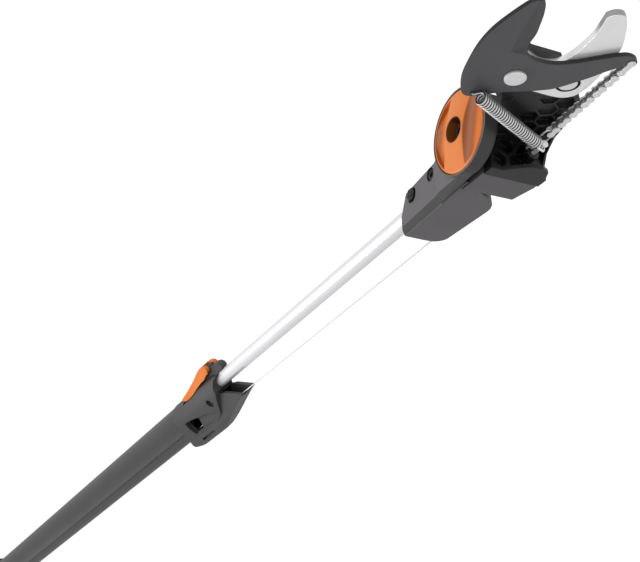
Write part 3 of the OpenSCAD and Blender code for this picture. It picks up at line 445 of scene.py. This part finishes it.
# Painted shade: the blade's narrow edges are painted almost black.
narrow = add(tree, "MapRange", {"From Min": 0.5, "From Max": 0.3, "To Min": 0.0, "To Max": 1.0},
             {"Value": side_on.outputs[0]})
paint_over(tree, "#100F11", narrow.outputs["Result"])
scratch_width = 1.4 * MM
across = add(tree, "Mapping", {"Rotation": (0, 0.5, 0), "Scale": (0.06, 1.0, 1.0)},
             {"Vector": place})
scratch = add(tree, "TexNoise", {"Scale": 1 / scratch_width, "Detail": 3.0},
              {"Vector": across.outputs["Vector"]})
rough = add(tree, "MapRange", {"To Min": 0.36, "To Max": 0.56}, {"Value": scratch.outputs["Fac"]})
tree.links.new(rough.outputs["Result"], shader.inputs["Roughness"])
bump = add(tree, "Bump", {"Strength": 0.3, "Distance": 0.02 * MM},
           {"Height": scratch.outputs["Fac"]})
tree.links.new(bump.outputs["Normal"], shader.inputs["Normal"])
shader.inputs["Metallic"].default_value = 0.2
print("blade finish:", coating.name)

# %% [markdown]
# ## Rubber and webbing
# The grip and the foot are moulded rubber with a small diamond knurl, which two waves at right
# angles make. The pull strap is a narrow woven web: two crossing waves along the pole draw its
# threads, and the cloth has a little sheen.

# %% Mix rubber and webbing
rubber, tree, shader, place = new_material("moulded_rubber")
knurl = []
for lean in (0.785, -0.785):
    turned = add(tree, "Mapping", {"Rotation": (0, 0, lean)}, {"Vector": place})
    knurl.append(add(tree, "TexWave", {"bands_direction": "DIAGONAL", "Scale": 1 / (18 * MM)},
                     {"Vector": turned.outputs["Vector"]}).outputs["Fac"])
cross = add(tree, "Math", {"operation": "MULTIPLY"}, {0: knurl[0], 1: knurl[1]})
# The knurl's raised diamonds are a shade lighter than its grooves.
knurl_tone = add(tree, "Mix", {"data_type": "RGBA", 6: linear("#1A191A"), 7: linear("#2E2D2E")},
           {0: cross.outputs[0]})
tree.links.new(knurl_tone.outputs[2], shader.inputs["Base Color"])
bump = add(tree, "Bump", {"Strength": 0.6, "Distance": 0.3 * MM}, {"Height": cross.outputs[0]})
tree.links.new(bump.outputs["Normal"], shader.inputs["Normal"])
shader.inputs["Roughness"].default_value = 0.72

webbing, tree, shader, place = new_material("woven_polyester_web")
threads = []
for lean in (0.6, -0.6):
    turned = add(tree, "Mapping", {"Rotation": (lean, lean, 0)}, {"Vector": place})
    threads.append(add(tree, "TexWave", {"bands_direction": "Z", "Scale": 1 / (7.5 * MM)},
                       {"Vector": turned.outputs["Vector"]}).outputs["Fac"])
weave = add(tree, "Math", {"operation": "MAXIMUM"}, {0: threads[0], 1: threads[1]})
cloth = add(tree, "Mix", {"data_type": "RGBA", 6: linear("#B4B4B6"), 7: linear("#E6E6E8")},
            {0: weave.outputs[0]})
tree.links.new(cloth.outputs[2], shader.inputs["Base Color"])
bump = add(tree, "Bump", {"Strength": 0.5, "Distance": 0.15 * MM}, {"Height": weave.outputs[0]})
tree.links.new(bump.outputs["Normal"], shader.inputs["Normal"])
shader.inputs["Roughness"].default_value = 0.8
shader.inputs["Sheen Weight"].default_value = 0.3
print("soft finishes:", rubber.name, webbing.name)

# %% [markdown]
# ## Rounded edges
# Moulded and cut parts never have knife-sharp corners: a small round catches the light along every
# edge. A CAD solid arrives as loose triangles, so a copy of it is merged, its flat faces are joined
# again, and a bevel modifier rounds the edges that turn by more than a set angle. The copy then
# stands in for the solid and moves with the same body.

# %% Helpers that round a solid's edges


def keep_piece(piece, material, *nodes):
    """Finishes a piece that stands for CAD nodes: gives it its material and hides those nodes."""
    piece.data.materials.clear()
    piece.data.materials.append(material)
    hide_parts(*nodes)
    return piece


def merged_copy(node):
    """The CAD node's mesh as one joined bmesh with its flat faces whole."""
    shape = bmesh.new()
    shape.from_mesh(frame["nodes"][node].data)
    bmesh.ops.remove_doubles(shape, verts=shape.verts, dist=1e-6)
    bmesh.ops.dissolve_limit(shape, angle_limit=math.radians(0.4), verts=shape.verts,
                             edges=shape.edges)
    return shape


def as_object(shape, name):
    """A smooth-shaded object made from a bmesh."""
    mesh = bpy.data.meshes.new(name)
    shape.to_mesh(mesh)
    shape.free()
    for layer in ("custom_normal", "sharp_edge", "sharp_face"):
        if layer in mesh.attributes:
            mesh.attributes.remove(mesh.attributes[layer])
    mesh.shade_smooth()
    piece = bpy.data.objects.new(name, mesh)
    scene.collection.objects.link(piece)
    return piece


def round_edges(piece, width_mm, turn_deg=32):
    """Bevels the sharp edges of a piece, and weights its normals by face area."""
    bevel = piece.modifiers.new("edge_round", "BEVEL")
    bevel.width = width_mm * MM
    bevel.segments = 2
    bevel.limit_method = "ANGLE"
    bevel.angle_limit = math.radians(turn_deg)
    bevel.use_clamp_overlap = False
    piece.modifiers.new("even_normals", "WEIGHTED_NORMAL").weight = 90
    return piece


def rounded(node, material, width_mm):
    """A rounded copy of a CAD node that stands in for it."""
    piece = round_edges(as_object(merged_copy(node), node + "_rounded"), width_mm)
    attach(piece, body_of[node])
    return keep_piece(piece, material, node)


print("nodes that can be rounded:", len(body_of))

# %% Round the moulded and cut pieces
for node, material, width_mm in [
        ("collar_body", dark_nylon, 0.4), ("clamp_lever", orange_abs, 0.8),
        ("butt_cap", rubber, 1.0), ("hand_grip", rubber, 0.7),
        ("handle_front", black_nylon, 0.8), ("handle_back", black_nylon, 0.8),
        ("base_cheek", cheek_nylon_painted_light, 0.4), ("base_body", grey_nylon, 0.4),
        ("tilt_knob", knob_abs_painted_shade, 0.6), ("head_frame", black_nylon, 0.5),
        ("frame_rear", black_nylon, 0.5), ("drum_housing", grey_nylon, 0.6),
        ("hook", ground_steel, 0.5), ("back_plate", coating, 0.4),
        ("base_nuts", black_oxide, 0.4), ("base_bolts", black_oxide, 0.3),
        ("knob_bolt", black_oxide, 0.4), ("pivot_bolt", zinc_plate, 0.4),
        ("pivot_nut", zinc_plate, 0.5), ("hook_bolt_rod", zinc_plate, 0.4),
        ("chain_outer_links", zinc_plate, 0.25), ("chain_inner_links", oiled_steel, 0.2),
        ("chain_rivets", zinc_plate, 0.25), ("spring_post", zinc_plate, 0.3)]:
    piece = rounded(node, material, width_mm)
    print(piece.name, len(piece.data.polygons), "faces before rounding")

# %% [markdown]
# ## Solids that keep their shape
# Tubes, pins and the pieces inside the head are right as they are. They only need their material,
# which goes into the object's own slot, so that the CAD mesh stays untouched.

# %% Give the other solids their materials
for material, nodes in [
        (powder_coat, ["outer_tube"]), (anodised, ["inner_tube"]),
        (black_nylon, ["clamp_bush", "strap_tongue", "tube_glide", "strap_bush", "strap_drum"]),
        (black_oxide, ["lever_pin_rod", "clamp_bolt_rod", "clamp_nut", "frame_screws"]),
        (zinc_plate, ["collar_screws", "handle_screws", "knob_washer", "tilt_nut", "chain_pin",
                      "drum_axle"])]:
    for node in nodes:
        for holder in frame["nodes"][node].material_slots:
            holder.link = "OBJECT"
            holder.material = material
    print(material.name, "on", len(nodes), "solids")

# %% [markdown]
# ## The blade
# The blade is a flat plate with a ground cutting edge on its front. A copy of the CAD plate is cut
# along the crease and along the two lines where the grinding runs out above the pivot. The front's
# points between the crease and the lever then move back, more the nearer they are to the edge.

# %% Grind the blade's edge
shape = merged_copy("cutting_blade")
crease_top, crease_low = head(-96, -14, 184), head(-80, -14, 124)
crease_way = (crease_low - crease_top).normalized()
to_edge = Vector((-crease_way.z, 0, crease_way.x))
throat_way = (head(-62, -14, 131) - crease_low).normalized()
upward = Vector((-throat_way.z, 0, throat_way.x))
run_out = 5 * MM
grind_slope = 0.22
for point, way in [(crease_low, to_edge), (crease_low, upward),
                   (crease_low + upward * run_out, upward)]:
    bmesh.ops.bisect_plane(shape, geom=shape.verts[:] + shape.edges[:] + shape.faces[:],
                           dist=1e-6, plane_co=point, plane_no=way)
lever_from = head(-50, -14, 0)
for vert in shape.verts:
    past = (vert.co - crease_low).dot(to_edge)
    above = (vert.co - crease_low).dot(upward)
    on_front = abs(vert.co.y - lever_from.y) < 0.1 * MM
    if on_front and past > 0 and above > 0 and vert.co.x < lever_from.x:
        vert.co.y += grind_slope * past * min(1.0, above / run_out)
blade = round_edges(as_object(shape, "ground_blade"), 0.3, turn_deg=40)
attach(blade, "blade")
keep_piece(blade, coating, "cutting_blade")
print("blade faces:", len(blade.data.polygons))

# %% [markdown]
# ## The return spring
# A close-wound steel spring pulls the blade open. A small circle is spun about the spring's axis
# and pushed along it at each step, which the spin operator does in one call. At the stud the wire
# makes a ring round it. At the blade it runs straight off the coil's side, bends and goes through a
# hole.

# %% Wind the coils


def only_edges(parts):
    """The edges in what an operator returned."""
    return [part for part in parts if isinstance(part, bmesh.types.BMEdge)]


hole = head(-77, -15.65, 71)
spring_len = (coil_end - stud).length
wire_r, wire_sides = 1.25 * MM, 10
coil_r = 4.75 * MM
coil_from = 8.5 * MM
turns, turn_steps = 27.5, 20

shape = bmesh.new()
section = bmesh.ops.create_circle(shape, segments=wire_sides, radius=wire_r)["verts"]
bmesh.ops.rotate(shape, verts=section, cent=(0, 0, 0),
                 matrix=Matrix.Rotation(math.pi / 2, 3, "X"))
bmesh.ops.translate(shape, verts=section, vec=(coil_r, 0, coil_from))
steps = int(turns * turn_steps)
wound = bmesh.ops.spin(shape, geom=shape.edges[:], cent=(0, 0, 0), axis=(0, 0, 1),
                       dvec=(0, 0, (spring_len - coil_from) / steps), angle=turns * math.tau,
                       steps=steps, use_duplicate=False)
wire_end = only_edges(wound["geom_last"])
print("coil pitch in mm:", round((spring_len - coil_from) / turns / MM, 2))

# %% Bend the ring round the stud


def draw_out(shape, edges, move):
    """Extrudes a ring of edges, places the new ring by the matrix move and returns its edges."""
    made = bmesh.ops.extrude_edge_only(shape, edges=edges)["geom"]
    verts = [part for part in made if isinstance(part, bmesh.types.BMVert)]
    bmesh.ops.transform(shape, verts=verts, matrix=move)
    return only_edges(made)


stud_ring, ring_turn = 3.9 * MM, math.radians(300)
ring = bmesh.ops.create_circle(shape, segments=wire_sides, radius=wire_r)["verts"]
bmesh.ops.translate(shape, verts=ring, vec=(stud_ring, 0, 0))
ring_edges = list({edge for vert in ring for edge in vert.link_edges})
bmesh.ops.spin(shape, geom=ring_edges, cent=(0, 0, 0), axis=(0, 1, 0), dvec=(0, 0, 0),
               angle=ring_turn, steps=24, use_duplicate=False)
draw_out(shape, ring_edges, Matrix.Translation((coil_r - stud_ring, 0, coil_from)))
bmesh.ops.transform(shape, verts=shape.verts, matrix=Matrix.Translation(stud) @ aim(spring_way))
print("ring radius in mm:", round(stud_ring / MM, 2))

# %% Bend the hook and stretch the spring


def close_up(shape):
    """Fills the open ends of a wire or strap and turns its faces outwards."""
    bmesh.ops.holes_fill(shape, edges=[e for e in shape.edges if e.is_boundary], sides=12)
    bmesh.ops.recalc_face_normals(shape, faces=shape.faces)


bend_r, hook_len = 1.8 * MM, 5 * MM
wire_at = sum((vert.co for edge in wire_end for vert in edge.verts), Vector()) / (2 * len(wire_end))
run = (hole - wire_at).normalized()
through = Vector((0, 1, 0))
bend_at = hole - run * bend_r
wire_end = draw_out(shape, wire_end, Matrix.Translation(bend_at - wire_at))
bent = bmesh.ops.spin(shape, geom=wire_end, cent=bend_at + through * bend_r,
                      axis=run.cross(through), dvec=(0, 0, 0), angle=math.pi / 2, steps=6,
                      use_duplicate=False)
draw_out(shape, only_edges(bent["geom_last"]), Matrix.Translation(through * hook_len))
close_up(shape)
spring = as_object(shape, "spring_wire")
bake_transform(spring)
keep_piece(spring, spring_steel, "return_spring", "spring_hook")
print("spring length in mm:", round(spring_len / MM, 1), "faces:", len(spring.data.polygons))

# %% [markdown]
# ## The pull strap
# The strap is a woven web, 5 mm wide. Its section is a flat face with its corners cut, which is
# extruded from one station of its route to the next: up the pole's channel, across the base behind
# its front wall, and up beside the hub.

# %% Lay the strap


def web_section(shape, half_t, half_w):
    """A strap's section in the xy plane: a flat face with cut corners. Returns its edges."""
    slim, corner = 5, 0.5
    bmesh.ops.create_grid(shape, x_segments=1, y_segments=1, size=1)
    bmesh.ops.scale(shape, verts=shape.verts, vec=(1, slim, 1))
    bmesh.ops.bevel(shape, geom=shape.verts[:], offset=corner, offset_type="OFFSET",
                    affect="VERTICES", segments=1, profile=0.5, material=-1)
    bmesh.ops.scale(shape, verts=shape.verts, vec=(half_t, half_w / slim, 1))
    return shape.edges[:]


strap_half_t, strap_half_w = 0.65 * MM, 2.45 * MM
reach_u = 31 / math.sqrt(2)
stations = [(Vector((reach_u * MM, -reach_u * MM, 0.410)), -45),
            (head(reach_u, -reach_u, -129), -45),
            (head(-22.7, -19.5, -59.9), 0), (head(-22.7, -19.5, -2), 0)]
route = [Matrix.Translation(point) @ Matrix.Rotation(math.radians(turn_deg), 4, "Z")
         for point, turn_deg in stations]
shape = bmesh.new()
loop = web_section(shape, strap_half_t, strap_half_w)
bmesh.ops.transform(shape, verts=shape.verts, matrix=route[0])
for last, new in zip(route, route[1:]):
    loop = draw_out(shape, loop, new @ last.inverted())
close_up(shape)
strap = as_object(shape, "woven_strap")
strap.data.set_sharp_from_angle(angle=math.radians(35))
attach(strap, "inner_pole")
keep_piece(strap, webbing, "pull_strap")
print("strap faces:", len(strap.data.polygons))

# %% [markdown]
# ## The chain's end loop
# A steel wire loop hangs on the chain's last pin, and a short strap joins it to the spool inside
# the housing. The wire is two half turns joined by straight sides, all made from one circle. When
# the blade closes, the spool winds it in.

# %% Bend the loop
chain_top, chain_len, chain_lean = Vector((16, 153.5)), 108.8, math.radians(2.1)
pin = chain_top + chain_len * Vector((math.sin(chain_lean), -math.cos(chain_lean)))
hang = Matrix.Translation(head(pin.x, -12, pin.y)) @ Matrix.Rotation(-chain_lean, 4, "Y")
spool = head(14.6, -12, -26)
loop_r, loop_len, loop_wire, loop_drop = 4.6 * MM, 10 * MM, 0.9 * MM, 2.2 * MM
shape = bmesh.new()
ring = bmesh.ops.create_circle(shape, segments=wire_sides, radius=loop_wire)["verts"]
bmesh.ops.translate(shape, verts=ring, vec=(loop_r, 0, 0))
ends = shape.edges[:]
for side in (1, -1):
    half = bmesh.ops.spin(shape, geom=ends, cent=(0, 0, (side - 1) * loop_len / 2),
                          axis=(0, -1, 0), dvec=(0, 0, 0), angle=math.pi, steps=12,
                          use_duplicate=False)
    ends = draw_out(shape, only_edges(half["geom_last"]),
                    Matrix.Translation((0, 0, -side * loop_len)))
bmesh.ops.remove_doubles(shape, verts=shape.verts, dist=1e-5)
bmesh.ops.recalc_face_normals(shape, faces=shape.faces)
bmesh.ops.transform(shape, verts=shape.verts, matrix=hang @ Matrix.Translation((0, 0, -loop_drop)))
wire_loop = as_object(shape, "chain_loop")
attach(wire_loop, "head")
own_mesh(wire_loop)
keep_piece(wire_loop, zinc_plate, "draw_strap")
print("loop faces:", len(wire_loop.data.polygons))

# %% Sew the short strap
web_drop = 16.2 * MM
draw_half_w = 1.2 * strap_half_w
top = hang @ Vector((0, 0, -web_drop))
shape = bmesh.new()
loop = web_section(shape, strap_half_t, draw_half_w)
bmesh.ops.translate(shape, verts=shape.verts, vec=spool)
draw_out(shape, loop, Matrix.Translation(top - spool))
close_up(shape)
draw = as_object(shape, "draw_web")
draw.data.set_sharp_from_angle(angle=math.radians(35))
draw.data.materials.append(webbing)
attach(draw, "head")
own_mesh(draw)
print("short strap in mm:", round((top - spool).length / MM, 1))
